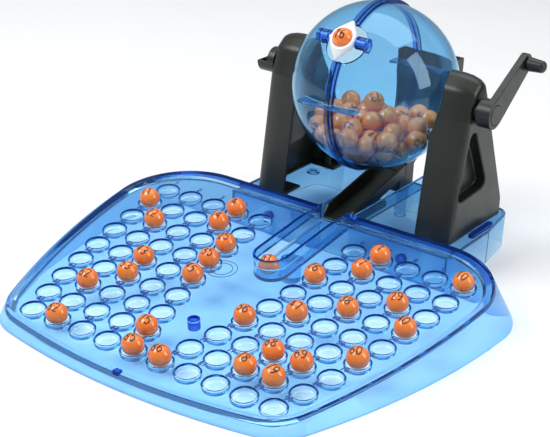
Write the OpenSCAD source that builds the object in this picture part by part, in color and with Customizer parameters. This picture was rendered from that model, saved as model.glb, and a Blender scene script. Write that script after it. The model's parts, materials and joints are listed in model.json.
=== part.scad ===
// Tabletop bingo cage: a see-through globe on two supports, turned by a crank,
// a rocking gate that lets out one ball at a time, a catcher and chute behind
// and below it, and a sloping board with ninety numbered ball sockets.
// Origin on the table under the middle of the footprint, +Y to the back, +Z up.

/* [Balls] */
// Diameter of one numbered ball
ball_d = 18; // [17.6:0.1:18.2]
// Side length of the lattice that packs the loose balls in the globe
heap_pitch = 18.3; // [18.3:0.1:18.5]

/* [Board] */
// Slope of the ball board, rising to the back, in degrees
board_tilt = 7; // [6:0.5:8]
// Height of the board surface above the table at the front socket row
board_front_h = 11; // [10:0.5:12]
// Distance between neighbouring socket columns
column_pitch = 26; // [25:0.25:26.5]
// Distance between neighbouring socket rows along a column
row_pitch = 27; // [26:0.25:27.5]
// Depth of a ball socket below the board surface
socket_depth = 5.5; // [4:0.5:6]
// Wall thickness of the moulded shells
shell_t = 2.4; // [1.8:0.1:2.8]
// Width of the flat crest on the raised rim around the board
rim_w = 3; // [2.5:0.5:4]
// How far the skirt stands out from the rim's crest at the table
skirt_out = 9; // [7:0.5:11]
// How much further back the skirt's foot runs than the crest, so that its back corners flare
foot_flare = 24; // [16:1:26]

/* [Ball channel] */
// Inner half width of the channel
channel_half_w = 13.2; // [11:0.1:14]
// Depth of the channel floor below the board surface
channel_depth = 11.5; // [10:0.5:12]
// Height of the raised lip around the channel
channel_lip = 8; // [5:0.5:9]

/* [Rear platform] */
// Height of the platform's top face
platform_h = 32; // [31:0.5:33]
// Half width of the platform at its widest
platform_half_w = 113; // [110:1:116]

/* [Globe] */
// Outer radius of the globe
globe_r = 74; // [72:0.5:75]
// Height of the globe's axis above the table
axis_z = 147.3; // [146:0.1:150]
// Wall thickness of the globe halves
globe_t = 2.2; // [1.8:0.1:2.4]
// Angle of the gate above the horizontal, at the front
gate_angle = 43; // [35:1:60]
// Radius of the gate opening in the globe
gate_hole_r = 18.5; // [18:0.1:19]

/* [Axles and crank] */
// Radius of the globe's axles
axle_r = 6; // [5:0.5:6.5]
// Radial running clearance of every turning fit
running = 0.05; // [0.02:0.01:0.09]
// Distance from the globe's axis to the knob
crank_len = 61; // [55:1:64]
// Angle of the crank arm above the horizontal, pointing back
crank_angle = 33; // [0:1:80]

/* [Hidden] */

sky = [0.36, 0.70, 0.93, 0.75];
royal = [0.20, 0.32, 0.75];
jet = [0.10, 0.10, 0.11];
orange = [0.98, 0.45, 0.10];
steel = [0.75, 0.76, 0.78];

eps = 0.01;
gap = 0.3;
ball_r = ball_d / 2;

// Board frame: x to the right, y back along the slope from the front socket row
front_row_y = -190;
columns = 10;
rows = 9;
field_gap = 1.01 * column_pitch;      // between the two inner columns
column_bend_r = 28.25 * column_pitch; // the socket columns are arcs of this radius
column_lean = 17.85;                  // slope of a column at the front row
row_step = row_pitch / column_bend_r * 180 / PI;
socket_r = ball_r + 0.4;
cup_r = socket_r + 1.6;
ball_lift = ball_r - socket_depth;    // centre of a seated ball above the board
// Column and row of the balls that are out, each as [column, row from the front]
called = [[0, 7], [1, 6], [3, 8], [3, 7], [4, 6], [4, 5], [4, 4], [2, 4], [2, 3], [1, 2],
          [1, 0], [4, 1], [4, 0], [5, 0], [5, 3], [5, 6], [6, 8], [6, 7], [6, 4], [7, 5],
          [7, 2], [7, 1], [8, 6], [8, 2], [8, 1], [9, 8], [9, 5], [9, 3]];

// Tray outline, the inner edge of the rim's crest: a front arc, two side arcs, a straight back
tray_front = -32;
tray_front_r = 542;
tray_side = 182;
tray_side_r = 640;
tray_side_y = 228;
tray_back = 246;
front_corner = 36;
back_corner = 64;
foot_corner = 53;                     // the back corners at the foot are a little tighter
rim_h = 4;                            // height of the crest above the board
rim_slope = 5;                        // the rim's inner wall leans out by this much
back_shelf = 8;                       // the crest is wider by this much at the back
tray_end_y = 67;                      // upright back face of the tray
post_y = 57;                          // centre of the hollow post, along the board

// Channel: a round front end and straight sides, open at the back
channel_out = channel_half_w + shell_t;
channel_front = 161.6;                // board y of the round end's centre
channel_ball_y = channel_front - channel_half_w + ball_r + 0.1;

// Platform and supports
platform_front_y = tray_end_y + gap;
platform_back_y = 197;
axis_y = 118.7;
support_in = 69;
support_out = 102;
support_round_x = 20;
support_round_y = 9;
support_wall = 3;
boss_r = 14;
bushing_r = 9;
bushing_out = 104;                    // the bushes stand out of the supports a little
foot_y = [114, 170];                  // between these the support has no base plate
screw_y = [93, 178];
screw_x = [87, 82];
cup_end = 119.5;
latch_y = 136;

// Gate, measured outward from the globe's centre
rib_half = 3.75;
rib_h = 2.5;
gate_pivot = 78.5;
gate_ball_c = 80.5;
gate_half_len = 19;
gate_ring_r = 12;
pin_r = 2;
lug_r = 5.5;
lug_in = 13.6;
lug_out = 24.5;
pin_end = 21.5;
sweep_r = gate_ball_c + ball_r;       // nothing fixed may come inside this

// Chute and catcher
chute_front_y = 68.5;
chute_back_y = 162;
chute_half = 14;
chute_slope = 12;
chute_floor_z = 34;
chute_wall_h = 9;
catch_in = sweep_r + 2;
catch_out = 105;
catch_top_half = 31;
catch_top_z = 152;

// Crank
arm_in = 112;
arm_out = 118;
hub_r = 12.5;
hub_in = 104.6;
arm_end_r = 8.6;
knob_len = 17;
key_w = 8;

function lean_x(r) = column_bend_r * (cos(column_lean - r * row_step) - cos(column_lean));
function row_y(r) = column_bend_r * (sin(column_lean) - sin(column_lean - r * row_step));
function side_of(c) = c < columns / 2 ? -1 : 1;
function rank_of(c) = c < columns / 2 ? columns / 2 - 1 - c : c - columns / 2;
function socket_x(c, r) = side_of(c) * (field_gap / 2 + rank_of(c) * column_pitch + lean_x(r));

module on_board(x = 0, y = 0, z = 0)
    translate([0, front_row_y, board_front_h]) rotate([board_tilt, 0, 0])
        translate([x, y, z]) children();

module on_axis() translate([0, axis_y, axis_z]) children();

module at_gate() on_axis() rotate([90 - gate_angle, 0, 0]) children();

// A cylinder along X from x1 to x2, given in the frame of its children
module bar(x1, x2, r, n = 48) translate([x1, 0, 0]) rotate([0, 90, 0])
    cylinder(r = r, h = x2 - x1, $fn = n);

// Puts a 2D outline drawn as (Y, Z) upright and thickens it along X
module slab_x(x, t) translate([x, 0, 0]) rotate([90, 0, 90]) linear_extrude(t) children();

module tray_sides() intersection() {
    translate([tray_side - tray_side_r, tray_side_y]) circle(tray_side_r, $fn = 180);
    translate([tray_side_r - tray_side, tray_side_y]) circle(tray_side_r, $fn = 180);
}

module rounded(corner, grow) offset(r = corner + grow, $fn = 64) offset(delta = -corner) children();

module tray_outline(grow = 0, back = 0, corner = back_corner) intersection() {
    rounded(front_corner, grow) intersection() {
        tray_sides();
        translate([0, tray_front + tray_front_r]) circle(tray_front_r, $fn = 180);
    }
    rounded(corner, grow) intersection() {
        tray_sides();
        translate([-250, -250]) square([500, 250 + tray_back + back]);
    }
}

// The tray's outer form, from the skirt's foot on the table to the rim's top
module tray_form(foot, rim, top) hull() {
    translate([0, front_row_y, 0]) linear_extrude(eps) tray_outline(foot, foot_flare, foot_corner);
    on_board(0, 0, top) linear_extrude(eps) tray_outline(rim, back_shelf);
}

// The open space above the board, inside the rim's leaning wall
module above_board() on_board() hull() {
    linear_extrude(eps) tray_outline(-rim_slope, rim_slope);
    translate([0, 0, rim_h + 1]) linear_extrude(eps) tray_outline(1);
}

module channel_plan(half) {
    translate([0, channel_front]) circle(half, $fn = 64);
    translate([-half, channel_front]) square([2 * half, 120]);
}

module each_socket() for (c = [0 : columns - 1], r = [0 : rows - 1])
    on_board(socket_x(c, r), row_y(r)) children();

module game_board() color(sky) difference() {
    union() {
        intersection() {
            difference() {
                tray_form(skirt_out, rim_w, rim_h);
                above_board();
                difference() {
                    tray_form(skirt_out - shell_t, rim_w - shell_t, -shell_t);
                    on_board(0, 0, -shell_t) linear_extrude(40) tray_outline(rim_w, back_shelf);
                    translate([-250, tray_end_y - shell_t, -1]) cube([500, 50, 80]);
                }
                translate([-300, -300, -2]) cube([600, 600, 2]);
            }
            translate([-250, -300, 0]) cube([500, 300 + tray_end_y, 80]);
        }
        each_socket() translate([0, 0, -socket_depth - 1.6])
            cylinder(r = cup_r, h = socket_depth + 1, $fn = 40);
        intersection() {
            on_board(0, 0, -channel_depth - shell_t)
                linear_extrude(channel_depth + shell_t + channel_lip) channel_plan(channel_out);
            translate([-50, -300, 0]) cube([100, 300 + tray_end_y, 80]);
        }
        cylinder(r = 9, h = 22, $fn = 40);
        on_board(0, post_y, -10) cylinder(r = 5.2, h = 9, $fn = 32);
    }
    each_socket() translate([0, 0, -socket_depth]) cylinder(r = socket_r, h = 40, $fn = 40);
    on_board(0, 0, -channel_depth) linear_extrude(60) channel_plan(channel_half_w);
    on_board(0, post_y, -11) cylinder(r = 3.4, h = 30, $fn = 32);
    translate([-3.2, front_row_y - 39, 8]) cube([6.4, 14, 10]);
    for (s = [-1, 1]) translate([s * 70, tray_end_y - 5, 18]) rotate([-90, 0, 0])
        cylinder(r = 3 + running, h = 10, $fn = 32);
}

module front_latch() color(royal) translate([-3, front_row_y - 35.5, 8.2]) {
    cube([6, 5, 3.8]);
    translate([1.2, -0.6, 0.8]) cube([3.6, 0.7, 2]);
}

module platform_plan(inset = 0) offset(r = 14 - inset, $fn = 40) offset(delta = -14) polygon([
    [-platform_half_w, platform_front_y - 20], [platform_half_w, platform_front_y - 20],
    [platform_half_w, 143], [105, platform_back_y], [-105, platform_back_y],
    [-platform_half_w, 143]]);

module platform_body(inset, h) intersection() {
    linear_extrude(h) platform_plan(inset);
    translate([-200, platform_front_y + inset, 0]) cube([400, 200, h]);
}

module rear_platform() color(sky) difference() {
    union() {
        difference() {
            platform_body(0, platform_h);
            translate([0, 0, -eps]) platform_body(shell_t, platform_h - shell_t);
        }
        for (s = [-1, 1]) {
            translate([s * 18 - 1.2, platform_front_y, platform_h - 1]) cube([2.4, 127, 13]);
            translate([s * 82, 154, platform_h - 1]) cylinder(r = 6, h = 3, $fn = 40);
        }
        translate([0, 183, 0]) cylinder(r = 6, h = platform_h - 1, $fn = 40);
    }
    for (s = [-1, 1]) {
        translate([s * 82, 154, platform_h - 0.5]) cylinder(r = 4, h = 5, $fn = 40);
        for (i = [0, 1]) translate([s * screw_x[i], screw_y[i], platform_h - 6])
            cylinder(r = 1.6, h = 10, $fn = 24);
        translate([s * 70, tray_end_y - 1, 18]) rotate([-90, 0, 0])
            cylinder(r = 3 + running, h = 10, $fn = 32);
    }
    translate([0, 183, -eps]) cylinder(r = 3.4, h = platform_h - 5, $fn = 32);
    translate([0, 183, 0]) cylinder(r = 1.6, h = 60, $fn = 24);
}

module joining_rivets() color(royal) for (s = [-1, 1]) translate([s * 70, 0, 18])
    rotate([-90, 0, 0]) {
        translate([0, 0, tray_end_y - shell_t - 1.6]) cylinder(r = 5, h = 1.5, $fn = 40);
        translate([0, 0, tray_end_y - shell_t - 0.2]) cylinder(r = 3, h = 2 * shell_t + 0.6, $fn = 40);
        translate([0, 0, platform_front_y + shell_t + 0.1]) cylinder(r1 = 4.2, r2 = 2.6, h = 2, $fn = 40);
    }

// Side view of a support, drawn as (Y, Z)
module support_side(inset = 0) offset(r = 12 - inset, $fn = 32) offset(delta = -12) polygon([
    [83, platform_h - 14], [98, 142], [106, 166], [121, 178], [134, 172], [142, 156],
    [159, 108], [190, 50], [192, platform_h - 14]]);

// Rounded outer form of a support, grown inward by inset
module support_form(inset, x_in) intersection() {
    hull() {
        slab_x(x_in, 1) support_side(inset);
        for (a = [0 : 22.5 : 90])
            slab_x(support_out - support_round_x + (support_round_x - inset) * sin(a) - 0.1, 0.1)
                support_side(inset + support_round_y * (1 - cos(a)));
    }
    translate([0, 0, platform_h + (inset > 0 ? support_wall : 0)]) cube([200, 300, 200]);
}

module recess_plan(inset) offset(r = 6 - inset, $fn = 32) offset(delta = -6)
    polygon([[113, 139], [97, 68], [150, 71]]);

module support_body() difference() {
    union() {
        difference() {
            support_form(0, support_in);
            difference() {
                support_form(support_wall, support_in - 2);
                slab_x(support_out - 13, 20) recess_plan(-support_wall);
            }
        }
        intersection() {
            on_axis() bar(80.6, support_out, boss_r);
            support_form(0, support_in);
        }
        for (i = [0, 1]) translate([screw_x[i], screw_y[i], platform_h])
            cylinder(r = 4, h = 16, $fn = 32);
    }
    slab_x(support_out - 10, 20) recess_plan(0);
    translate([support_in - 1, foot_y[0], platform_h - 1])
        cube([support_out - support_in - 6, foot_y[1] - foot_y[0], support_wall + 1.5]);
    on_axis() sphere(r = globe_r + 2, $fn = 96);
    on_axis() bar(60, 120, bushing_r + running);
    for (i = [0, 1]) translate([screw_x[i], screw_y[i], platform_h - 1])
        cylinder(r = 1.3, h = 14, $fn = 24);
}

module right_support() color(jet) support_body();

module left_support() color(jet) mirror([1, 0, 0]) support_body();

// Cup round the left axle's end, open at the top
module axle_cup() color(jet) on_axis() difference() {
    bar(-cup_end, -support_out - 0.02, 12);
    bar(-cup_end + 2, -support_out + 1, 9.6);
    translate([-cup_end - 1, -15, 0]) cube([11, 30, 15]);
}

module support_screws() color(steel) for (s = [-1, 1], i = [0, 1])
    translate([s * screw_x[i], screw_y[i], platform_h - shell_t]) {
        translate([0, 0, -2.1]) cylinder(r = 3.2, h = 2, $fn = 32);
        translate([0, 0, -0.4]) cylinder(r = 1.25, h = 14, $fn = 32);
    }

module support_latches() color(royal) for (s = [-1, 1]) translate([s * 107.6, latch_y, platform_h])
    linear_extrude(3.4) offset(r = 2.4, $fn = 24) square([1, 34], center = true);

module bushing_form() difference() {
    union() {
        bar(80.4, bushing_out, bushing_r);
        bar(79, 80.4, 12);
    }
    bar(70, 120, axle_r + running);
}

module right_bushing() color(jet) on_axis() bushing_form();

module left_bushing() color(jet) on_axis() mirror([1, 0, 0]) bushing_form();

// Outer or inner block of the chute, sloping up to the back from its front end
module chute_block(half, low, high)
    translate([0, chute_front_y, chute_floor_z]) rotate([chute_slope, 0, 0])
        translate([-half, -20, low]) cube([2 * half, 140, high - low]);

module ball_chute() color(jet) difference() {
    intersection() {
        union() {
            chute_block(chute_half, -2, chute_wall_h);
            translate([-chute_half, chute_front_y, platform_h])
                cube([2 * chute_half, 60, 6]);
        }
        translate([-50, chute_front_y, platform_h]) cube([100, chute_back_y - chute_front_y, 60]);
    }
    chute_block(chute_half - 2, 0, 40);
    translate([-50, chute_front_y - 1, chute_floor_z + 3]) rotate([50, 0, 0]) cube([100, 20, 20]);
}

module catcher_plan(grow) polygon([[-catch_top_half - grow, catch_top_z + 60],
    [catch_top_half + grow, catch_top_z + 60], [catch_top_half + grow, catch_top_z - 18],
    [chute_half + grow, 62], [chute_half + grow, platform_h],
    [-chute_half - grow, platform_h], [-chute_half - grow, 62],
    [-catch_top_half - grow, catch_top_z - 18]]);

module catcher_prism(grow, y1) translate([0, 300, 0]) rotate([90, 0, 0])
    linear_extrude(300 - y1) catcher_plan(grow);

module ball_catcher() color(jet) difference() {
    union() {
        intersection() {
            catcher_prism(0, chute_back_y + gap);
            on_axis() bar(-40, 40, catch_out, 120);
            translate([-50, 0, platform_h]) cube([100, 400, catch_top_z + 3 - platform_h]);
        }
        translate([-7, 165, platform_h + 0.1]) cube([14, 25, 30]);
    }
    on_axis() bar(-41, 41, catch_in, 120);
    intersection() {
        catcher_prism(-2, chute_back_y - 5);
        on_axis() bar(-40, 40, catch_out - 2.4, 120);
    }
    translate([0, 183, platform_h - 1]) cylinder(r = 1.3, h = 14, $fn = 24);
}

module catcher_screw() color(steel) translate([0, 183, 0]) {
    translate([0, 0, platform_h - 7.2]) cylinder(r = 3.2, h = 2, $fn = 32);
    translate([0, 0, platform_h - 5.4]) cylinder(r = 1.25, h = 16, $fn = 32);
}

// Outline of a solid globe half with its seam rib and hub, turned about the axis
module globe_outline() intersection() {
    union() {
        circle(globe_r, $fn = 96);
        square([globe_r + rib_h, rib_half]);
        square([13, 77]);
    }
    square(100);
}

module globe_half() difference() {
    union() {
        rotate([0, 90, 0]) rotate_extrude($fn = 96) globe_outline();
        rotate([90 - gate_angle, 0, 0]) {
            translate([0, 0, gate_pivot]) bar(lug_in, lug_out, lug_r, 40);
            translate([16.2, -4, 60]) cube([7, 8, gate_pivot - 60]);
        }
    }
    sphere(r = globe_r - globe_t, $fn = 96);
    rotate([90 - gate_angle, 0, 0]) {
        translate([0, 0, 40]) cylinder(r = gate_hole_r, h = 34.2, $fn = 64);
        translate([0, 0, gate_pivot]) bar(lug_in - 5, pin_end + 0.5, pin_r + running, 32);
        translate([0, 0, 73]) cylinder(r = gate_ring_r + 1.4, h = 30, $fn = 64);
        translate([-1, -gate_half_len - 3, 74]) cube([5.6, 2 * gate_half_len + 6, 20]);
    }
    bar(60, 80, axle_r + running);
}

module globe_right_half() color(sky) on_axis() globe_half();

module globe_left_half() color(sky) on_axis() mirror([1, 0, 0]) globe_half();

// Lens-shaped tab lying across the seam, its outer edge an arc of radius lens_r
module seam_tab() translate([0, 0, -1.1]) difference() {
    linear_extrude(2.2) intersection() {
        translate([0, -42]) circle(120 - globe_r + 76, $fn = 128);
        translate([-27, -globe_r - 8]) square([54, 30]);
        translate([0, 42 - 2 * globe_r]) circle(78, $fn = 96);
    }
    translate([0, 0, 1.1]) sphere(r = globe_r + 0.02, $fn = 96);
    translate([0, 0, 1.1]) bar(-rib_half - 0.02, rib_half + 0.02, globe_r + rib_h + 0.02, 96);
}

module seam_tabs() color(royal) on_axis() for (a = [0, 180]) rotate([0, 0, a]) seam_tab();

module left_axle() color(jet) on_axis() {
    bar(-108, -71.9, axle_r);
    bar(-78.9, -77, 11);
}

module left_axle_clip() color(steel) on_axis() difference() {
    bar(-106, -104.6, 8.6);
    bar(-107, -104, axle_r);
}

module drive_shaft() color(jet) on_axis() {
    bar(71.9, hub_in, axle_r);
    bar(77, 78.9, 11);
    translate([hub_in - 0.5, -key_w / 2, -key_w / 2]) cube([8, key_w, key_w]);
}

module along_arm() rotate([crank_angle, 0, 0]) children();

module crank_arm() color(jet) on_axis() difference() {
    union() {
        bar(hub_in + 0.2, arm_out, hub_r);
        along_arm() {
            slab_x(arm_in, arm_out - arm_in) polygon([[1, -hub_r + 0.3],
                [crank_len, -arm_end_r + 0.1], [crank_len, arm_end_r - 0.1], [1, hub_r - 0.3]]);
            translate([0, crank_len, 0]) bar(arm_in, arm_out, arm_end_r);
        }
    }
    translate([hub_in - 1, -key_w / 2 - running, -key_w / 2 - running])
        cube([9, key_w + 2 * running, key_w + 2 * running]);
    bar(110, 120, 1.8, 24);
    bar(arm_out - 3.6, arm_out + 1, 9);
    along_arm() translate([0, crank_len, 0]) bar(arm_in - 1, arm_out + 1, 2.5 + running, 32);
}

module crank_screw() color(steel) on_axis() {
    bar(114.5, 116.2, 3.2, 32);
    bar(112.2, 114.6, 1.7, 32);
}

module crank_cap() color(jet) on_axis() {
    bar(116.4, arm_out - 0.4, 8.95);
    translate([arm_out - 0.4, 0, 0]) rotate([0, 90, 0]) cylinder(r1 = 8.95, r2 = 8.2, h = 0.8, $fn = 48);
}

module at_knob() on_axis() along_arm() translate([0, crank_len, 0]) children();

module knob_pin() color(steel) at_knob() {
    bar(arm_in + 0.4, arm_out + 14, 2.5, 32);
    bar(arm_out + 14, arm_out + 15.4, 3.4, 32);
}

module crank_knob() color(jet) at_knob() difference() {
    translate([arm_out + gap, 0, 0]) rotate([0, 90, 0]) rotate_extrude($fn = 64) polygon(concat(
        [[0, 0], [5.4, 0], [6.3, 1.2]],
        [for (a = [0 : 15 : 90]) [5.3 * cos(a), knob_len - 3.6 + 3.6 * sin(a)]]));
    bar(arm_out - 1, arm_out + 13.6, 2.5 + running, 32);
    bar(arm_out + 13.5, arm_out + 15.9, 3.9, 32);
}

module gate_frame() color("white") at_gate() difference() {
    union() {
        hull() {
            translate([0, 0, 76]) cylinder(r = gate_ring_r - 0.8, h = 6.5, $fn = 32);
            translate([0, 0, 76.8]) cylinder(r = gate_ring_r, h = 4.4, $fn = 32);
            for (s = [-1, 1]) translate([0, s * (gate_half_len - 1), 76.2])
                cylinder(r = 1, h = 1.8, $fn = 16);
        }
        translate([0, 0, gate_pivot]) bar(-pin_end, pin_end, pin_r, 32);
    }
    translate([0, 0, gate_ball_c]) sphere(r = ball_r + 0.15, $fn = 64);
    translate([0, 0, 70]) cylinder(r = 5, h = 10, $fn = 48);
}

module gate_ball() color(orange) at_gate() translate([0, 0, gate_ball_c]) sphere(d = ball_d, $fn = 64);

// Loose balls on a close-packed lattice in the lower part of the globe
heap_limit = globe_r - globe_t - ball_r - 1.6;
heap_low = -57.2;
heap_layers = 3;
layer_h = heap_pitch * sqrt(2 / 3);
function heap_point(i, j, k) = [heap_pitch * (i + j / 2 + k / 2 + 1 / 3),
    heap_pitch * (sqrt(3) / 2 * (j + k / 3) + 1 / 2), k * layer_h + heap_low];

module drum_balls() color(orange) on_axis()
    for (k = [0 : heap_layers - 1], j = [-5 : 5], i = [-7 : 7]) {
        p = heap_point(i, j, k);
        if (norm(p) <= heap_limit) translate(p) sphere(d = ball_d, $fn = 48);
    }

module board_balls() color(orange) for (b = called)
    on_board(socket_x(b[0], b[1]), row_y(b[1]), ball_lift + 0.05) sphere(d = ball_d, $fn = 48);

module channel_ball() color(orange)
    on_board(0, channel_ball_y, ball_r - channel_depth + 0.05) sphere(d = ball_d, $fn = 64);

game_board();
front_latch();
rear_platform();
joining_rivets();
left_support();
right_support();
axle_cup();
support_screws();
support_latches();
left_bushing();
right_bushing();
ball_chute();
ball_catcher();
catcher_screw();
globe_left_half();
globe_right_half();
seam_tabs();
left_axle();
left_axle_clip();
drive_shaft();
crank_arm();
crank_screw();
crank_cap();
knob_pin();
crank_knob();
gate_frame();
gate_ball();
drum_balls();
board_balls();
channel_ball();
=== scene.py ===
import json
import math

import bmesh
import bpy
import numpy as np
from mathutils import Matrix, Vector, geometry


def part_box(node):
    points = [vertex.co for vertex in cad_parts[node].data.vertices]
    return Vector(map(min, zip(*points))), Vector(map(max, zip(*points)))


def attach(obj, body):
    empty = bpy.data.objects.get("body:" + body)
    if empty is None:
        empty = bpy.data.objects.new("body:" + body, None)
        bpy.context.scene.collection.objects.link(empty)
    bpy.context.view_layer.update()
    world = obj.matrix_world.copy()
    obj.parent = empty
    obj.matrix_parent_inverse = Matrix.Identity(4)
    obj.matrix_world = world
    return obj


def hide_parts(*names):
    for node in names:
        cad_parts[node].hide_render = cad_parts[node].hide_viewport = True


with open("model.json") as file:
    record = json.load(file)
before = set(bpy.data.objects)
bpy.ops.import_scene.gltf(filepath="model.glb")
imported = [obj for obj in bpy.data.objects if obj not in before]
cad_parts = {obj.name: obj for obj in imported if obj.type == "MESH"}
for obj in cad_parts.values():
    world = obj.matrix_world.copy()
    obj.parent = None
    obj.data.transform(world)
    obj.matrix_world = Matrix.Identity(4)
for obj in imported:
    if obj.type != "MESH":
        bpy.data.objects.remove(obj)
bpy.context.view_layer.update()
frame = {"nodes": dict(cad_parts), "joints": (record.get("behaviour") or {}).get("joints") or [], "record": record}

MM = 0.001

# ---------------------------------------------------------------- measures, in millimetres
joints = {j["name"]: j for j in frame["joints"]}
roll = joints["channel_ball_roll"]["axis"]
AXIS = Vector(joints["drum_spin"]["pos_m"]) / MM    # the globe's centre
TILT = math.atan2(roll[2], roll[1])                 # the board's slope, which the channel follows
BALL_R = (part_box("channel_ball")[1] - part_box("channel_ball")[0]).x / MM / 2

# The board's own x and y run across it and up its slope, from the middle of the front socket row.
ROW_0, BOARD_Z = -190.0, 11.0       # that row's world y and z
COLUMNS, ROWS = 10, 9
HALF = COLUMNS // 2                 # columns on each side of the middle
COLUMN, ROW = 26.0, 27.0            # steps from socket to socket, across and along a column
FIRST_X = 0.505 * COLUMN            # x of the front sockets nearest the middle
BEND_R = 28.25 * COLUMN             # radius of the columns' bend
LEAN = math.radians(17.85)          # lean of the columns at the front row
SHELL = 2.4                         # wall of the clear mouldings
PLATFORM_H = 32.0                   # top of the rear platform's deck
CHANNEL_IN, CHANNEL_OUT = 13.2, 15.6    # half widths inside and outside the channel's wall
CHANNEL_EDGE = CHANNEL_OUT + 0.05   # half width of the deck's gap round the channel
CHANNEL_FRONT, CHANNEL_BACK = 161.6, 258.9
GATE_NUMBER, CHANNEL_NUMBER = 76, 51
# The called balls' sockets, as column from the left and row from the front.
CALLED = [(0, 7), (1, 6), (3, 8), (3, 7), (4, 6), (4, 5), (4, 4), (2, 4), (2, 3), (1, 2),
          (1, 0), (4, 1), (4, 0), (5, 0), (5, 3), (5, 6), (6, 8), (6, 7), (6, 4), (7, 5),
          (7, 2), (7, 1), (8, 6), (8, 2), (8, 1), (9, 8), (9, 5), (9, 3)]


def on_board(x, y, h):
    """A point of the tilted board, at height h over its face, as a world point."""
    return (x, ROW_0 + y * math.cos(TILT) - h * math.sin(TILT),
            BOARD_Z + y * math.sin(TILT) + h * math.cos(TILT))


def board_spot(x, y):
    """Gives a function that places points given relative to one point of the board."""
    return lambda u, v, h: on_board(x + u, y + v, h)


def socket_at(column, row):
    """Board x and y of a socket; each half's columns are arcs about one centre."""
    angle = LEAN - row * ROW / BEND_R
    from_middle = HALF - 1 - column if column < HALF else column - HALF
    x = FIRST_X + from_middle * COLUMN
    x += BEND_R * (math.cos(angle) - math.cos(LEAN))
    return (-x if column < HALF else x), BEND_R * (math.sin(LEAN) - math.sin(angle))


def number_at(column, row):
    """Numbers run along the rows, from the left end of the back row."""
    return (ROWS - 1 - row) * COLUMNS + column + 1


# ---------------------------------------------------------------- node helpers
class Nodes:
    """A small builder for one material's node tree."""

    def __init__(self, name):
        self.mat = bpy.data.materials.new(name)
        self.mat.use_nodes = True
        self.tree = self.mat.node_tree
        self.tree.nodes.clear()
        self.out = self.add("ShaderNodeOutputMaterial")

    def add(self, kind, **values):
        """Adds a node and sets its properties or inputs by name."""
        node = self.tree.nodes.new(kind)
        for key, value in values.items():
            if hasattr(node, key):
                setattr(node, key, value)
            else:
                node.inputs[key.replace("_", " ")].default_value = value
        return node

    def link(self, source, target):
        self.tree.links.new(source, target)

    def noise(self, scale, detail=4.0):
        coords = self.add("ShaderNodeTexCoord")
        tex = self.add("ShaderNodeTexNoise", Scale=scale, Detail=detail, Roughness=0.55)
        self.link(coords.outputs["Object"], tex.inputs["Vector"])
        return tex.outputs["Fac"]

    def ramp(self, fac, low, high, lo=0.3, hi=0.7):
        """A value that goes from low to high while fac goes from lo to hi."""
        node = self.add("ShaderNodeMapRange")
        node.inputs["From Min"].default_value = lo
        node.inputs["From Max"].default_value = hi
        node.inputs["To Min"].default_value = low
        node.inputs["To Max"].default_value = high
        self.link(fac, node.inputs["Value"])
        return node.outputs["Result"]

    def over(self, distance, edge, soft):
        """0 under an edge and 1 over it, with a short blend; edge and soft are in millimetres."""
        return self.ramp(distance, 0, 1, (edge - soft) * MM, (edge + soft) * MM)

    def tint(self, fac, low, high, lo=0.3, hi=0.7):
        """A colour that goes from low to high while fac goes from lo to hi."""
        node = self.add("ShaderNodeValToRGB")
        node.color_ramp.elements[0].position = lo
        node.color_ramp.elements[0].color = (*low, 1)
        node.color_ramp.elements[1].position = hi
        node.color_ramp.elements[1].color = (*high, 1)
        self.link(fac, node.inputs["Fac"])
        return node.outputs["Color"]

    def multiply(self, a, b):
        node = self.add("ShaderNodeMix", data_type="RGBA", blend_type="MULTIPLY")
        node.inputs["Factor"].default_value = 1.0
        self.link(a, node.inputs["A"])
        self.link(b, node.inputs["B"])
        return node.outputs["Result"]

    def lighter(self, colour, share):
        """Mixes a colour with a share of white."""
        node = self.add("ShaderNodeMix", data_type="RGBA")
        node.inputs["Factor"].default_value = share
        self.link(colour, node.inputs["A"])
        node.inputs["B"].default_value = (1, 1, 1, 1)
        return node.outputs["Result"]

    def math(self, operation, a, b=None):
        node = self.add("ShaderNodeMath", operation=operation)
        for socket, value in zip(node.inputs, (a, b)):
            if isinstance(value, float):
                socket.default_value = value
            elif value is not None:
                self.link(value, socket)
        return node.outputs[0]

    def mix(self, fac, a, b):
        """Mixes two shaders."""
        node = self.add("ShaderNodeMixShader")
        if isinstance(fac, float):
            node.inputs["Fac"].default_value = fac
        else:
            self.link(fac, node.inputs["Fac"])
        self.link(a, node.inputs[1])
        self.link(b, node.inputs[2])
        return node.outputs["Shader"]

    def bump(self, height, strength, distance):
        node = self.add("ShaderNodeBump")
        node.inputs["Strength"].default_value = strength
        node.inputs["Distance"].default_value = distance
        self.link(height, node.inputs["Height"])
        return node.outputs["Normal"]


RIB_HALF = 3.85                     # half width of the rib along the globe's seam
LUG_FROM, LUG_REACH = 12.0, 75.2    # the gate's lugs, from the seam's plane and from the globe's centre


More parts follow.
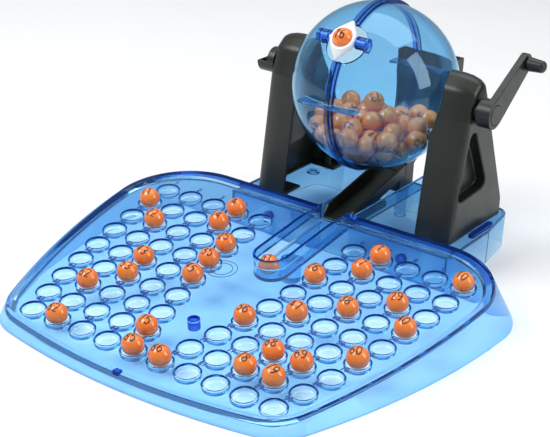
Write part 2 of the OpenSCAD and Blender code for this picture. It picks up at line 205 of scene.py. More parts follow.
def clear_plastic(name, face, edge, haze, painted_light_tint=None, cloudy=(0.10, 0.32, 0.94), seam=None, shade=0.3):
    """Tinted clear plastic that bends light; light for shadows goes straight through it.

    The mesh's attribute of painted light and shade, where it has one, paints refraction into the tint. Below 0 it
    shifts the tint towards the lighter colour, which is painted light. Above 0 it shifts the tint of the surface
    that light enters by to the edge colour, which is a painted dark line. Haze is the share of cloudy diffuse
    light, seam tints the globe's rib and lugs, and shade darkens shadows."""
    n = Nodes(name)
    # Painted light and shade: the lighter colour is painted light, and the edge colour is a painted dark line
    # standing in for refraction.
    painted_light_and_shade = n.add("ShaderNodeAttribute", attribute_name="painted_light_and_shade").outputs["Fac"]
    entering = n.math("SUBTRACT", 1.0, n.add("ShaderNodeNewGeometry").outputs["Backfacing"])
    size = n.math("ABSOLUTE", painted_light_and_shade)
    shift = n.math("SUBTRACT", n.math("MULTIPLY", n.math("ADD", painted_light_and_shade, size), entering), size)
    painted_tones = n.add("ShaderNodeValToRGB")
    painted_tones.color_ramp.elements[0].color = (*(painted_light_tint or face), 1)
    painted_tones.color_ramp.elements[1].color = (*edge, 1)
    painted_tones.color_ramp.elements.new(0.5).color = (*face, 1)
    n.link(n.ramp(shift, 0, 1, -1, 1), painted_tones.inputs["Fac"])
    tint = n.multiply(painted_tones.outputs["Color"], n.tint(n.noise(9.0), (0.96, 0.98, 0.99), (1, 1, 1)))
    if seam:
        coords = n.add("ShaderNodeTexCoord")
        split = n.add("ShaderNodeSeparateXYZ")
        n.link(coords.outputs["Object"], split.inputs["Vector"])
        across = n.math("ABSOLUTE", split.outputs["X"])
        reach = n.add("ShaderNodeVectorMath", operation="DISTANCE")
        n.link(coords.outputs["Object"], reach.inputs[0])
        reach.inputs[1].default_value = AXIS * MM
        lug = n.math("MULTIPLY", n.over(across, LUG_FROM, 0.2),
                     n.over(reach.outputs["Value"], LUG_REACH, 0.2))
        plain = n.math("SUBTRACT", n.over(across, RIB_HALF, 0.15), lug)
        tint = n.multiply(tint, n.tint(plain, seam, (1, 1, 1), 0.0, 1.0))
    glass = n.add("ShaderNodeBsdfGlass", IOR=1.49, Roughness=0.0)
    n.link(tint, glass.inputs["Color"])
    n.link(n.bump(n.noise(30.0, 2.0), 0.15, 0.0003), glass.inputs["Normal"])
    cloud = n.add("ShaderNodeBsdfDiffuse")
    n.link(n.tint(n.noise(20.0), [0.9 * v for v in cloudy], cloudy), cloud.inputs["Color"])
    body = n.mix(haze, glass.outputs["BSDF"], cloud.outputs["BSDF"])
    clear = n.add("ShaderNodeBsdfTransparent")
    n.link(n.lighter(tint, 1 - shade), clear.inputs["Color"])
    path = n.add("ShaderNodeLightPath")
    n.link(n.mix(path.outputs["Is Shadow Ray"], body, clear.outputs["BSDF"]), n.out.inputs["Surface"])
    return n.mat


def moulded_plastic(name, low, high, rough, grain, coat=0.0, bump=0.15):
    """Opaque moulded plastic with a fine grain, uneven gloss and slight colour drift."""
    n = Nodes(name)
    skin = n.add("ShaderNodeBsdfPrincipled")
    n.link(n.tint(n.noise(14.0), low, high), skin.inputs["Base Color"])
    n.link(n.ramp(n.noise(60.0), *rough), skin.inputs["Roughness"])
    n.link(n.bump(n.noise(grain, 2.0), bump, 0.0002), skin.inputs["Normal"])
    skin.inputs["Coat Weight"].default_value = coat
    skin.inputs["Coat Roughness"].default_value = 0.08
    n.link(skin.outputs["BSDF"], n.out.inputs["Surface"])
    return n.mat


def metal(name, low, high):
    """Drawn steel with uneven gloss."""
    n = Nodes(name)
    skin = n.add("ShaderNodeBsdfPrincipled")
    skin.inputs["Metallic"].default_value = 1.0
    n.link(n.tint(n.noise(120.0), low, high), skin.inputs["Base Color"])
    n.link(n.ramp(n.noise(400.0), 0.22, 0.4), skin.inputs["Roughness"])
    n.link(skin.outputs["BSDF"], n.out.inputs["Surface"])
    return n.mat


LOOKS = {
    # Each clear plastic's edge colour is a painted dark line, and its lighter colour is painted light.
    "board_blue": clear_plastic("board_blue", (0.62, 0.815, 0.95), (0.10, 0.25, 0.76), haze=0.035,
                                painted_light_tint=(0.86, 0.945, 0.98)),
    "globe_blue": clear_plastic("globe_blue", (0.69, 0.88, 0.98), (0.45, 0.62, 0.93), haze=0.02,
                                cloudy=(0.2, 0.5, 1.0), seam=(0.5, 0.62, 0.9), shade=0.1),
    "royal_blue": clear_plastic("royal_blue", (0.22, 0.36, 0.80), (0.2, 0.3, 0.7), haze=0.08),
    "black_plastic": moulded_plastic("black_plastic", (0.009, 0.012, 0.008), (0.014, 0.018, 0.012),
                                     (0.30, 0.42), 700.0, bump=0.08),
    "orange_ball": moulded_plastic("orange_ball", (0.97, 0.20, 0.018), (1.0, 0.26, 0.03),
                                   (0.18, 0.28), 300.0, coat=0.8, bump=0.05),
    "white_plastic": moulded_plastic("white_plastic", (0.84, 0.86, 0.87), (0.92, 0.93, 0.93),
                                     (0.2, 0.3), 500.0, coat=0.2),
    "screw_steel": metal("screw_steel", (0.55, 0.56, 0.58), (0.70, 0.71, 0.73)),
    "number_ink": moulded_plastic("number_ink", (0.012, 0.010, 0.012), (0.03, 0.022, 0.02),
                                  (0.35, 0.5), 500.0),
    "moulded_line": moulded_plastic("moulded_line", (0.012, 0.05, 0.26), (0.02, 0.08, 0.36),
                                    (0.2, 0.3), 500.0),
}
SLOTS = {part["node"]: part["material_slot"] for part in frame["record"]["subparts"]}
BODIES = {node: body for body, nodes in frame["record"]["behaviour"]["bodies"].items() for node in nodes}

for name, slot in SLOTS.items():
    materials = frame["nodes"][name].data.materials
    materials.clear()
    # The tabs stand out from the globe as its lugs do, but aren't dark, so they take the board's look.
    materials.append(LOOKS["board_blue" if name == "seam_tabs" else slot])


# ---------------------------------------------------------------- mesh helpers
SIDES = 32      # sides of the sockets and of the deck's holes, which have to match


def add_piece(name, bm, material, body, nodes=(), sharp=35.0, flat=()):
    """Turns a bmesh in millimetres into a piece that rides on a body, smooth but for the flat faces."""
    for face in bm.faces:
        face.smooth = True
    for face in flat:
        face.smooth = False
    bmesh.ops.remove_doubles(bm, verts=bm.verts, dist=1e-3)
    bmesh.ops.recalc_face_normals(bm, faces=bm.faces)
    bmesh.ops.scale(bm, vec=(MM, MM, MM), verts=bm.verts)
    mesh = bpy.data.meshes.new(name)
    bm.to_mesh(mesh)
    bm.free()
    mesh.set_sharp_from_angle(angle=math.radians(sharp))
    mesh.materials.append(material)
    obj = bpy.data.objects.new(name, mesh)
    bpy.context.scene.collection.objects.link(obj)
    even = obj.modifiers.new("even", "WEIGHTED_NORMAL")
    even.keep_sharp = True
    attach(obj, body)
    if nodes:
        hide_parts(*nodes)


def add_rings(bm, rings, closed=True, caps=(), painted_light_and_shade=None):
    """Quads between rings of points; closed joins each ring's ends; caps names 'first' or 'last'.

    The last argument, given a ring and a spot, gives a vertex's share of painted shade, or below 0 of painted
    light."""
    grid = [[bm.verts.new(p) for p in ring] for ring in rings]
    if painted_light_and_shade:
        layer = bm.verts.layers.float["painted_light_and_shade"]
        for i, ring in enumerate(grid):
            for k, vert in enumerate(ring):
                vert[layer] = painted_light_and_shade(i, k)
    count = len(grid[0])
    for low, high in zip(grid, grid[1:]):
        for i in range(count if closed else count - 1):
            j = (i + 1) % count
            bm.faces.new((low[i], low[j], high[j], high[i]))
    if "first" in caps:
        bm.faces.new(grid[0][::-1])
    if "last" in caps:
        bm.faces.new(grid[-1])


def add_turned(bm, profile, place, count=SIDES):
    """A solid or sheet turned about the local z axis; profile holds (radius, height) and maybe a share of painted
    light and shade.
    """
    turns = [2 * math.pi * i / count for i in range(count)]
    rings = [[place(spot[0] * math.cos(a), spot[0] * math.sin(a), spot[1]) for a in turns]
             for spot in profile]
    has_painted_light_and_shade = len(profile[0]) > 2
    add_rings(bm, rings, painted_light_and_shade=(lambda i, k: profile[i][2]) if has_painted_light_and_shade else None)


def rounded_copy(node, width=0.5, segments=2, painted_light_and_shade=None):
    """The CAD node's form again with its hard edges rounded over, as a moulded part has them."""
    bm = bmesh.new()
    bm.from_mesh(frame["nodes"][node].data)
    bmesh.ops.scale(bm, vec=(1 / MM, 1 / MM, 1 / MM), verts=bm.verts)
    bmesh.ops.remove_doubles(bm, verts=bm.verts, dist=2e-3)
    bmesh.ops.dissolve_limit(bm, angle_limit=math.radians(0.7), verts=bm.verts, edges=bm.edges)
    hard = [e for e in bm.edges if len(e.link_faces) == 2 and e.calc_face_angle(0) > math.radians(30)]
    bmesh.ops.bevel(bm, geom=hard, offset=width, segments=segments, profile=0.5,
                    affect="EDGES", clamp_overlap=False)
    # Optional shares of painted light and shade, one for each vertex.
    if painted_light_and_shade:
        layer = bm.verts.layers.float.new("painted_light_and_shade")
        for vert in bm.verts:
            vert[layer] = painted_light_and_shade(vert.co)
    add_piece(node + "_shape", bm, LOOKS[SLOTS[node]], BODIES[node], [node])


# ---------------------------------------------------------------- digits drawn as raised strokes
OVAL = [(0.5 + 0.4 * math.sin(a), 0.5 + 0.5 * math.cos(a)) for a in np.linspace(0, 2 * math.pi, 17)]
GLYPHS = {
    "0": [OVAL],
    "1": [[(0.25, 0.8), (0.52, 1), (0.52, 0)]],
    "2": [[(0.1, 0.78), (0.28, 0.97), (0.5, 1), (0.78, 0.93), (0.88, 0.74), (0.74, 0.5), (0.1, 0)],
          [(0.1, 0), (0.9, 0)]],
    "3": [[(0.12, 0.85), (0.35, 1), (0.65, 1), (0.86, 0.82), (0.8, 0.6), (0.45, 0.52)],
          [(0.45, 0.52), (0.82, 0.44), (0.9, 0.2), (0.7, 0.02), (0.35, 0), (0.1, 0.15)]],
    "4": [[(0.7, 0), (0.7, 1), (0.08, 0.3), (0.95, 0.3)]],
    "5": [[(0.85, 1), (0.2, 1), (0.15, 0.56)],
          [(0.15, 0.56), (0.5, 0.63), (0.82, 0.5), (0.9, 0.28), (0.7, 0.03), (0.35, 0), (0.1, 0.14)]],
    "6": [[(0.8, 0.95), (0.5, 1), (0.22, 0.75), (0.1, 0.4), (0.2, 0.1), (0.5, 0), (0.8, 0.1),
           (0.9, 0.3), (0.78, 0.52), (0.5, 0.6), (0.2, 0.48), (0.11, 0.35)]],
    "7": [[(0.1, 1), (0.9, 1), (0.4, 0)]],
    "8": [[(0.5, 0.53), (0.2, 0.66), (0.2, 0.9), (0.5, 1), (0.8, 0.9), (0.8, 0.66), (0.5, 0.53),
           (0.12, 0.38), (0.12, 0.1), (0.5, 0), (0.88, 0.1), (0.88, 0.38), (0.5, 0.53)]],
    "9": [[(0.2, 0.05), (0.5, 0), (0.78, 0.25), (0.9, 0.6), (0.8, 0.9), (0.5, 1), (0.2, 0.9),
           (0.1, 0.7), (0.22, 0.48), (0.5, 0.4), (0.8, 0.52), (0.89, 0.65)]],
}
STRAIGHT = "147"                    # these keep their corners
DIGIT_PITCH, DIGIT_WIDTH = 0.66, 0.56   # shares of a digit's height
BOARD_DIGIT, BALL_DIGIT = (5.0, 0.95), (8.8, 1.15)  # height and width of stroke
STROKE_STEP = 0.9                   # longest straight bit of a stroke, so that it can follow a ball


def cut_corners(points):
    """Rounds an open line by cutting its corners twice."""
    for _ in range(2):
        inner = []
        for a, b in zip(points, points[1:]):
            inner.append((0.75 * a[0] + 0.25 * b[0], 0.75 * a[1] + 0.25 * b[1]))
            inner.append((0.25 * a[0] + 0.75 * b[0], 0.25 * a[1] + 0.75 * b[1]))
        points = [points[0]] + inner[1:-1] + [points[-1]]
    return points


def add_stroke(bm, points, width, place, low, high):
    """A raised line with a rectangular section along 2D points; place maps (u, v, lift) to a point."""
    pts = [np.array(points[0], float)]
    for a, b in zip(points, points[1:]):
        parts = max(1, math.ceil(math.dist(a, b) / STROKE_STEP))
        pts += [np.array(a) + (np.array(b) - a) * k / parts for k in range(1, parts + 1)]
    pts = np.array(pts)
    steps = np.diff(pts, axis=0)
    steps /= np.linalg.norm(steps, axis=1)[:, None]
    ends = np.vstack([steps[:1], steps, steps[-1:]])
    along = ends[:-1] + ends[1:]
    along /= np.maximum(np.linalg.norm(along, axis=1), 0.35)[:, None]
    side = np.stack([-along[:, 1], along[:, 0]], axis=1) * width / 2
    corners = [(side, low), (side, high), (-side, high), (-side, low)]
    rings = [[place(*(pts[i] + s[i]), lift) for s, lift in corners] for i in range(len(pts))]
    add_rings(bm, rings, True, ("first", "last"))


def add_number(bm, number, size, width, place, low, high):
    """The digits of a number, centred on place's origin."""
    text = str(number)
    gap = (DIGIT_PITCH - DIGIT_WIDTH) * size
    for k, digit in enumerate(text):
        left = (k - len(text) / 2) * DIGIT_PITCH * size + gap / 2
        for line in GLYPHS[digit]:
            line = line if digit in STRAIGHT else cut_corners(line)
            add_stroke(bm, [(left + DIGIT_WIDTH * size * u, (v - 0.5) * size) for u, v in line],
                       width, place, low, high)


# ---------------------------------------------------------------- tray of the ball board
# The rim's outline, in board terms: arcs for the front and the sides, with rounded corners between.
FRONT_R, SIDE_R = 542.0, 640.0
FRONT_C, SIDE_C = np.array((0.0, 510.0)), np.array((-458.0, 228.0))
FRONT_CORNER, BACK_CORNER = 36.0, 64.0
RIM_MARGIN, RIM_RISE = 2.5, 5.0     # widths of the flat foot and of the rise up to the crest
RIM_OUT, RIM_SHIFT = 3.0, 8.0       # the lip beyond the crest's outer edge, and that edge's shift back
CREST_BACK = 246.0                  # board y of the crest's straight back edge
FOOT_FLARE, FOOT_CORNER = 24.0, 53.0    # the skirt's foot runs further back, with tighter corners
FOOT_OUT = 9.0                      # how far the foot stands out from the crest's inner edge
BACK_Y = 66.95                      # world y of the tray's flat back
CREST_SPOT, FOOT_SPOT = 7, 14       # places of the crest and of the foot's outer edge in a section
RIM_MORE_SHADE_FROM = 215.0               # how far behind the front row the rim gets more painted shade along its edges


def heading(v):
    return math.atan2(v[1], v[0])


def front_corner_centre():
    """Where circles inside the front and side arcs, smaller by the corner's radius, meet."""
    a, b = FRONT_R - FRONT_CORNER, SIDE_R - FRONT_CORNER
    gap = SIDE_C - FRONT_C
    dist = np.linalg.norm(gap)
    t = (a * a - b * b + dist * dist) / (2 * dist)
    rise = math.sqrt(a * a - t * t)
    unit = gap / dist
    mids = [FRONT_C + t * unit + s * rise * np.array((-unit[1], unit[0])) for s in (-1, 1)]
    return max(mids, key=lambda p: p[0])


def back_corner_centre(radius, shift):
    """Where a circle touches the side arc and the back edge from within."""
    y = CREST_BACK + shift - radius
    return np.array((SIDE_C[0] + math.sqrt((SIDE_R - radius) ** 2 - (y - SIDE_C[1]) ** 2), y))


def half_outline(shift, corner=BACK_CORNER):
    """Right half of the rim's outline from the front to the channel, with outward normals.

    shift moves its straight back edge further back."""
    front, back = front_corner_centre(), back_corner_centre(corner, shift)
    points, normals = [], []
    for centre, radius, start, end, count in (
            (FRONT_C, FRONT_R, -math.pi / 2, heading(front - FRONT_C), 44),
            (front, FRONT_CORNER, heading(front - FRONT_C), heading(front - SIDE_C), 18),
            (SIDE_C, SIDE_R, heading(front - SIDE_C), heading(back - SIDE_C), 44),
            (back, corner, heading(back - SIDE_C), math.pi / 2, 22)):
        for a in np.linspace(start, end, count, endpoint=False):
            normals.append((math.cos(a), math.sin(a)))
            points.append(centre + radius * np.array(normals[-1]))
    for x in np.linspace(back[0], CHANNEL_EDGE, 14):
        normals.append((0.0, 1.0))
        points.append((x, CREST_BACK + shift))
    return np.array(points), np.array(normals)


def tray_sections():
    """Sections through the rim and skirt, from the channel's right side round the front to its left."""
    crest, out = half_outline(0.0)
    slope = half_outline(RIM_RISE)[0] - RIM_RISE * out
    outer, skirt = half_outline(RIM_SHIFT)[0], half_outline(FOOT_FLARE, FOOT_CORNER)[0]
    halves = []
    for top, way, base, edge, foot in zip(crest, out, slope, outer, skirt):
        inmost = base - RIM_MARGIN * way
        rise = [base + t * (top - base) for t in (0.12, 0.45, 0.8, 0.97)]
        over = [(inmost, 0), (base - 1.3 * way, 0.06), (base - 0.4 * way, 0.3), (rise[0], 0.7),
                (rise[1], 1.9), (rise[2], 3.2), (rise[3], 3.75), (top + 0.6 * way, 4.0),
                (edge + 1.9 * way, 4.0), (edge + 2.7 * way, 3.75), (edge + RIM_OUT * way, 3.0)]
        section = [np.array(on_board(q[0], q[1], h)) for q, h in over]
        level = np.array((way[0], way[1], 0.0))
        foot_out = np.array((foot[0], ROW_0 + foot[1], 0.0)) + FOOT_OUT * level
        foot_in = foot_out - SHELL * level
        top_in = np.array(on_board(*(edge + (RIM_OUT - SHELL) * way), -SHELL))
        section += [section[-1] + t * (foot_out - section[-1]) for t in (0.3, 0.65, 0.97)]
        section += [foot_out - 0.4 * level, foot_in]
        section += [foot_in + t * (top_in - foot_in) for t in (0.35, 0.7, 1.0)]
        section += [np.array(on_board(*inmost, -SHELL))]
        for spot, q in enumerate(section):
            q[1] = min(q[1], BACK_Y if spot <= FOOT_SPOT else BACK_Y - SHELL)
        halves.append(section)
    left = [[q * np.array((-1, 1, 1)) for q in section] for section in halves]
    return halves[::-1] + left[1:]


def deck_loop():
    """Outline of the board's flat part, along the rim and then round the channel's front end, and
    how many of its points are the channel's."""
    base, out = half_outline(RIM_RISE)
    right = base - (RIM_RISE + RIM_MARGIN) * out
    loop = [tuple(p) for p in right[::-1]] + [(-p[0], p[1]) for p in right[1:]]
    half, back = CHANNEL_EDGE, right[-1][1]
    down = [(-half, y) for y in np.linspace(back, CHANNEL_FRONT, 12)[1:-1]]
    turn = [(half * math.cos(a), CHANNEL_FRONT + half * math.sin(a))
            for a in np.linspace(-math.pi, 0, 28)]
    return loop + down + turn + [(-x, y) for x, y in down[::-1]], len(down) * 2 + len(turn)


# Profiles of the sockets and of the post's hole, as radius, height over the board and share of painted light and
# shade: a painted dark ring round each socket's mouth and painted light in its bowl.
SOCKET_HOLE, POST_HOLE = 11.0, 5.2
SOCKET_TOP = [(11.0, 0, 0), (10.3, 0, 0.2), (9.95, -0.08, 0.9), (9.65, -0.3, 1), (9.45, -0.7, 0.9),
              (9.4, -1.2, 0.1), (9.35, -3.1, -0.6), (9.05, -4.2, -1), (8.3, -4.95, -1), (6.9, -5.35, -1),
              (3.6, -5.5, -1), (0.01, -5.5, -1)]
SOCKET_UNDER = [(11.0, -SHELL, 0), (10.75, -SHELL - 0.3, 0), (10.6, -5.6, -0.6), (10.2, -6.5, -1),
                (9.3, -7.0, -1), (5.0, -7.1, -1), (0.01, -7.1, -1)]
POST_RIM = [(POST_HOLE, 0, 0), (POST_HOLE, -SHELL, 0)]
POST = [(5.15, -SHELL), (5.15, -0.3), (4.9, 0), (4.0, 0), (3.6, -0.2), (3.4, -0.6), (3.4, -10.0),
        (5.0, -10.0), (5.15, -9.8), (5.15, -SHELL)]
POST_AT = (0.0, 57.0)
# The pad under the channel that the object rests on, as radius and height over the table.
PAD = [(0.01, 0.0), (8.2, 0.0), (8.9, 0.7), (9.0, 2.0), (9.0, 20.4), (0.01, 20.4)]
# Shares of painted shade, as dark lines along the edges, or below 0 of painted light, at the spots of a rim or
# channel section.
RIM_PAINTED_LIGHT_AND_SHADE = {3: 0.2, 6: 0.6, 7: 1.0, 8: 1.0, 9: 1.0, 10: 0.7, 11: 0.4, 12: 0.4, 13: 0.5, 14: 0.9, 15: 0.3,
            16: -1.0, 17: -1.0, 18: -0.6}
LIP_PAINTED_LIGHT_AND_SHADE = {2: -0.5, 3: -1, 4: -1, 5: -1, 6: 0.6, 7: 1, 8: 1, 9: 1, 10: 1, 11: 0.6, 12: -1, 13: -1, 14: -0.3}
LIP_FALL = 226.0, 22.0, 3.8         # where the channel's lip starts to fall, over what length, how far


def fill_deck(loop, holes):
    """Triangles between the outline and the round holes, as points and index triples."""
    points, edges = list(loop), [(i, (i + 1) % len(loop)) for i in range(len(loop))]
    for cx, cy, radius in holes:
        start = len(points)
        for i in range(SIDES):
            a = 2 * math.pi * i / SIDES
            points.append((cx + radius * math.cos(a), cy + radius * math.sin(a)))
            edges.append((start + i, start + (i + 1) % SIDES))
    out = geometry.delaunay_2d_cdt([Vector(p) for p in points], edges, [], 0, 1e-5)
    verts, tris = np.array([tuple(v) for v in out[0]]), np.array(out[2])
    mid = verts[tris].mean(axis=1)
    keep = np.ones(len(tris), bool)
    for cx, cy, radius in holes:
        keep &= np.hypot(mid[:, 0] - cx, mid[:, 1] - cy) > radius * 0.992
    ring = np.array(loop)
    nxt = np.roll(ring, -1, axis=0)
    inside = np.zeros(len(mid), bool)
    for (x1, y1), (x2, y2) in zip(ring, nxt):
        cross = (y1 > mid[:, 1]) != (y2 > mid[:, 1])
        at = x1 + (mid[:, 1] - y1) / (y2 - y1 if y2 != y1 else 1) * (x2 - x1)
        inside ^= cross & (mid[:, 0] < at)
    return verts, tris[keep & inside]


def channel_section(spot, out, back_end):
    """Section of the channel's wall and floor at a spot of its inner outline, as world points."""
    shape = [(-CHANNEL_IN, -11.5), (-2.4, -11.5), (-0.9, -11.1), (-0.2, -10.3), (0, -9.2), (0, 5.6), (0, 6.9),
             (0.3, 7.6), (0.9, 8.0), (1.6, 8.0), (2.15, 7.6), (2.4, 6.9), (2.4, 5.6), (2.4, -12.6),
             (1.9, -13.5), (1.0, -13.9), (-CHANNEL_IN, -13.9)]
    start, length, drop = LIP_FALL
    fall = min(1.0, max(0.0, (spot[1] - start) / length))
    ring = []
    for aside, h in shape:
        h -= drop * fall * fall * (3 - 2 * fall) * min(1.0, max(0.0, (h - 4.0) / 4.0))
        q = spot + aside * out
        if back_end:
            q[1] = (BACK_Y - ROW_0 + h * math.sin(TILT)) / math.cos(TILT)
        ring.append(on_board(q[0], q[1], h))
    return ring


def add_rim(bm):
    """The rim and skirt, with painted dark lines and painted light on them, and more painted shade along the back.
    """
    sections = tray_sections()
    share = [0.9 if section[CREST_SPOT][1] > ROW_0 + RIM_MORE_SHADE_FROM else 0.3 for section in sections]
    add_rings(bm, sections, False, painted_light_and_shade=lambda i, k: RIM_PAINTED_LIGHT_AND_SHADE.get(k, 0.0) * share[i])


def add_deck(bm):
    """The board's flat sheet with its holes; returns the faces, which stay flat."""
    loop, open_edge = deck_loop()
    holes = [(*socket_at(c, r), SOCKET_HOLE) for c in range(COLUMNS) for r in range(ROWS)]
    verts, tris = fill_deck(loop, holes + [(*POST_AT, POST_HOLE)])
    flat = []
    for h in (0.0, -SHELL):
        sheet = [bm.verts.new(on_board(x, y, h)) for x, y in verts]
        flat += [bm.faces.new([sheet[i] for i in t]) for t in tris]
    edge = loop[-open_edge - 1:] + loop[:1]
    add_rings(bm, [[on_board(x, y, h) for x, y in edge] for h in (0.0, -SHELL)], False)
    for x, y, _ in holes:
        add_turned(bm, SOCKET_TOP, board_spot(x, y))
        add_turned(bm, SOCKET_UNDER, board_spot(x, y))
    add_turned(bm, POST_RIM, board_spot(*POST_AT))
    return flat


def add_channel(bm):
    """The channel's floor and wall, round its front end and out through the tray's back."""
    side = [((CHANNEL_IN, y), (1, 0)) for y in np.linspace(CHANNEL_BACK, CHANNEL_FRONT, 12)[:-1]]
    turn = [((CHANNEL_IN * math.cos(a), CHANNEL_FRONT + CHANNEL_IN * math.sin(a)),
             (math.cos(a), math.sin(a))) for a in np.linspace(0, -math.pi, 28)]
    outline = side + turn + [((-x, y), (-n[0], n[1])) for (x, y), n in side[::-1]]
    rings = [channel_section(np.array(p), np.array(n), k in (0, len(outline) - 1))
             for k, (p, n) in enumerate(outline)]
    # Painted dark lines along the channel's lips, and painted light on its walls.
    add_rings(bm, rings, False, painted_light_and_shade=lambda i, k: LIP_PAINTED_LIGHT_AND_SHADE.get(k, 0.0))


def make_tray():
    bm = bmesh.new()
    # A layer for painted light and shade on the tray's rim, sockets and channel.
    bm.verts.layers.float.new("painted_light_and_shade")
    add_rim(bm)
    flat = add_deck(bm)
    add_turned(bm, PAD, lambda u, v, h: (u, v, h))
    add_channel(bm)
    add_piece("tray", bm, LOOKS["board_blue"], "root", ["game_board"], 50, flat)


def make_post():
    bm = bmesh.new()
    add_turned(bm, POST, board_spot(*POST_AT))
    add_piece("board_post", bm, LOOKS["royal_blue"], "root")


RINGS_AT = (-26.5, 128.0)           # two plain raised rings between the fields


def make_board_numbers():
    """A raised number beside each socket, and the two rings."""
    bm = bmesh.new()
    for c in range(COLUMNS):
        for r in range(ROWS):
            between = board_spot(*socket_at(c, r + 0.5))
            add_number(bm, number_at(c, r), *BOARD_DIGIT, between, 0.02, 0.35)
    for radius in (9.0, 13.0):
        ring = [(radius * math.cos(a), radius * math.sin(a)) for a in np.linspace(0, 2 * math.pi, 49)]
        add_stroke(bm, ring, 0.6, board_spot(*RINGS_AT), 0.02, 0.3)
    add_piece("board_numbers", bm, LOOKS["moulded_line"], "root")


# ---------------------------------------------------------------- balls
def frame_about(direction, up, turn=0.0):
    """Right, up and out unit vectors, with out along direction and the other two turned about it."""
    out = Vector(direction).normalized()
    right = Vector(up).cross(out).normalized()
    top = out.cross(right)
    cos, sin = math.cos(turn), math.sin(turn)
    return right * cos + top * sin, top * cos - right * sin, out


def ball_profile():
    """Radii and heights up a ball, a little hollow at its middle for the parting line."""
    upper = [2.2, 7, 14, 22, 30, 40, 50, 60, 70, 80, 89.9]
    spots = [(math.radians(a), 1) for a in upper]
    spots = [(-a, 1) for a, _ in spots[::-1]] + [(0.0, 0.993)] + spots
    return [(BALL_R * math.cos(a) * share, BALL_R * math.sin(a)) for a, share in spots]


def add_ball(shell, marks, centre, number, axes):
    """One ball, with a parting line round it, and its number on the side that faces out."""
    right, top, out = axes
    centre = Vector(centre)

    def inside(u, v, h):
        return centre + right * u + out * v + top * h

    def over(u, v, h):
        return centre + (out + right * (u / BALL_R) + top * (v / BALL_R)).normalized() * (BALL_R + h)

    add_turned(shell, ball_profile(), inside, 36)
    add_number(marks, number, *BALL_DIGIT, over, -0.3, 0.12)


HEAP_REACH = 62.2                   # farthest that a loose ball's centre gets from the globe's
BALL_GAP = 18.05                    # least distance between two balls' centres


def settle(count):
    """Ball centres of a loose heap at the bottom of the globe, relative to its centre.

    The balls start scattered, sink step by step, and are pushed apart and back into the globe."""
    rng = np.random.default_rng(7)
    pts = rng.uniform(-1, 1, (count, 3)) * (42, 42, 22) - (0, 0, 20)
    for step in range(900):
        pts[:, 2] -= 0.5 if step < 700 else 0.12
        for _ in range(3):
            gap = pts[:, None] - pts[None]
            dist = np.linalg.norm(gap, axis=2) + np.eye(count) * 99
            push = np.maximum(BALL_GAP - dist, 0)[:, :, None] * gap / dist[:, :, None]
            pts += 0.5 * push.sum(axis=1) * 0.8
            far = np.linalg.norm(pts, axis=1)
            pts *= np.minimum(1, HEAP_REACH / far)[:, None]
    return pts


def centre_of(node):
    """Centre of a CAD node's box, in millimetres."""
    low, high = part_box(node)
    return (low + high) / 2 / MM


def make_balls():
    """All ninety balls, as one piece of shells and one of numbers for each CAD node."""
    rng = np.random.default_rng(3)
    groups = {"board_balls": [], "channel_ball": [], "gate_ball": [], "drum_balls": []}
    used = {GATE_NUMBER, CHANNEL_NUMBER}
    for c, r in CALLED:
        centre = on_board(*socket_at(c, r), BALL_R - 5.45)
        facing = Vector((rng.uniform(-0.12, 0.12), -0.34 + rng.uniform(-0.1, 0.1), 0.93))
        axes = frame_about(facing, (0, 1, 0.3), rng.uniform(-0.4, 0.4))
        groups["board_balls"].append((centre, number_at(c, r), axes))
        used.add(number_at(c, r))
    axes = frame_about((-0.1, -0.3, 1), (0, 1, 0.2), 0.3)
    groups["channel_ball"].append((centre_of("channel_ball"), CHANNEL_NUMBER, axes))
    gate_centre = centre_of("gate_ball")
    axes = frame_about(gate_centre - AXIS, (0, 1, 1), 0.1)
    groups["gate_ball"].append((gate_centre, GATE_NUMBER, axes))
    rest = [n for n in range(1, 91) if n not in used]
    for centre, number in zip(settle(len(rest)), rest):
        facing = Vector(rng.normal(size=3)) + Vector((0.5, -0.9, 0.5))
        groups["drum_balls"].append((AXIS + Vector(centre), number, frame_about(facing, rng.normal(size=3))))
    for node, balls in groups.items():
        shell, marks = bmesh.new(), bmesh.new()
        for centre, number, axes in balls:
            add_ball(shell, marks, centre, number, axes)
        add_piece(node + "_shells", shell, LOOKS["orange_ball"], BODIES[node], [node])
        add_piece(node + "_numbers", marks, LOOKS["number_ink"], BODIES[node])


# ---------------------------------------------------------------- stage, lights and camera
def make_floor():
    """A plain pale floor, far larger than the picture."""
    mesh = bpy.data.meshes.new("floor")
    mesh.from_pydata([(-6, -6, 0), (6, -6, 0), (6, 6, 0), (-6, 6, 0)], [], [(0, 1, 2, 3)])
    floor = bpy.data.objects.new("floor", mesh)
    bpy.context.scene.collection.objects.link(floor)
    n = Nodes("floor_white")
    skin = n.add("ShaderNodeBsdfPrincipled", Roughness=0.7)
    n.link(n.tint(n.noise(3.0), (0.88, 0.885, 0.89), (0.91, 0.91, 0.91)), skin.inputs["Base Color"])
    n.link(skin.outputs["BSDF"], n.out.inputs["Surface"])
    mesh.materials.append(n.mat)


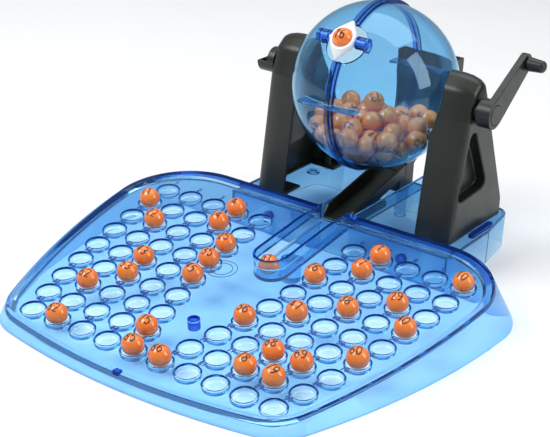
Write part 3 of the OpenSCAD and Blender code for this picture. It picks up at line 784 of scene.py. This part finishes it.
def soft_light(name, place, target, size, watts):
    """A rectangular lamp that faces a target; places and sizes in metres."""
    lamp = bpy.data.lights.new(name, "AREA")
    lamp.shape = "RECTANGLE"
    lamp.size, lamp.size_y = size
    lamp.energy = watts
    obj = bpy.data.objects.new(name, lamp)
    bpy.context.scene.collection.objects.link(obj)
    obj.location = place
    obj.rotation_euler = (Vector(target) - Vector(place)).to_track_quat("-Z", "Y").to_euler()


def make_camera():
    """A camera where the photo's stood, from a fit to the sockets' grid and the globe's outline."""
    lens = bpy.data.cameras.new("camera")
    lens.sensor_width = 36.0
    lens.lens = 91.98
    lens.clip_end = 20.0
    cam = bpy.data.objects.new("camera", lens)
    bpy.context.scene.collection.objects.link(cam)
    right = Vector((0.81453, 0.57806, 0.04388))
    up = Vector((-0.26603, 0.30547, 0.91403))
    back = right.cross(up).normalized()
    up = back.cross(right).normalized()
    turn = Matrix((right.normalized(), up, back)).transposed().to_4x4()
    cam.matrix_world = Matrix.Translation((0.5946, -0.9008, 0.5328)) @ turn
    bpy.context.scene.camera = cam


def make_world():
    """Even, faintly blue light from all sides."""
    world = bpy.data.worlds.new("world")
    bpy.context.scene.world = world
    world.use_nodes = True
    background = world.node_tree.nodes["Background"]
    background.inputs["Color"].default_value = (0.93, 0.96, 1.0, 1)
    background.inputs["Strength"].default_value = 0.55


# ---------------------------------------------------------------- the scene
make_post()
make_tray()
make_board_numbers()
make_balls()
for name in ("left_support", "right_support"):
    rounded_copy(name, 1.5, segments=3)
for name in ("ball_chute", "ball_catcher", "axle_cup", "crank_arm", "gate_frame", "front_latch",
             "support_latches"):
    rounded_copy(name)
# The platform's walls below its deck get painted light, so they look lighter than the plastic's tint.
rounded_copy("rear_platform", painted_light_and_shade=lambda p: 0.0 if p.z > PLATFORM_H - 3 else -1.0)
make_world()
make_floor()
make_camera()
soft_light("key", (-0.9, -0.9, 1.5), (0, 0, 0.05), (1.2, 0.8), 26)
soft_light("fill", (1.5, 0.4, 0.9), (0, 0.1, 0.1), (0.6, 1.2), 12)
soft_light("top", (0.0, 0.5, 1.6), (0, 0, 0), (1.6, 1.0), 14)
bpy.context.scene.view_settings.view_transform = "Standard"
bpy.context.scene.view_settings.exposure = -0.32
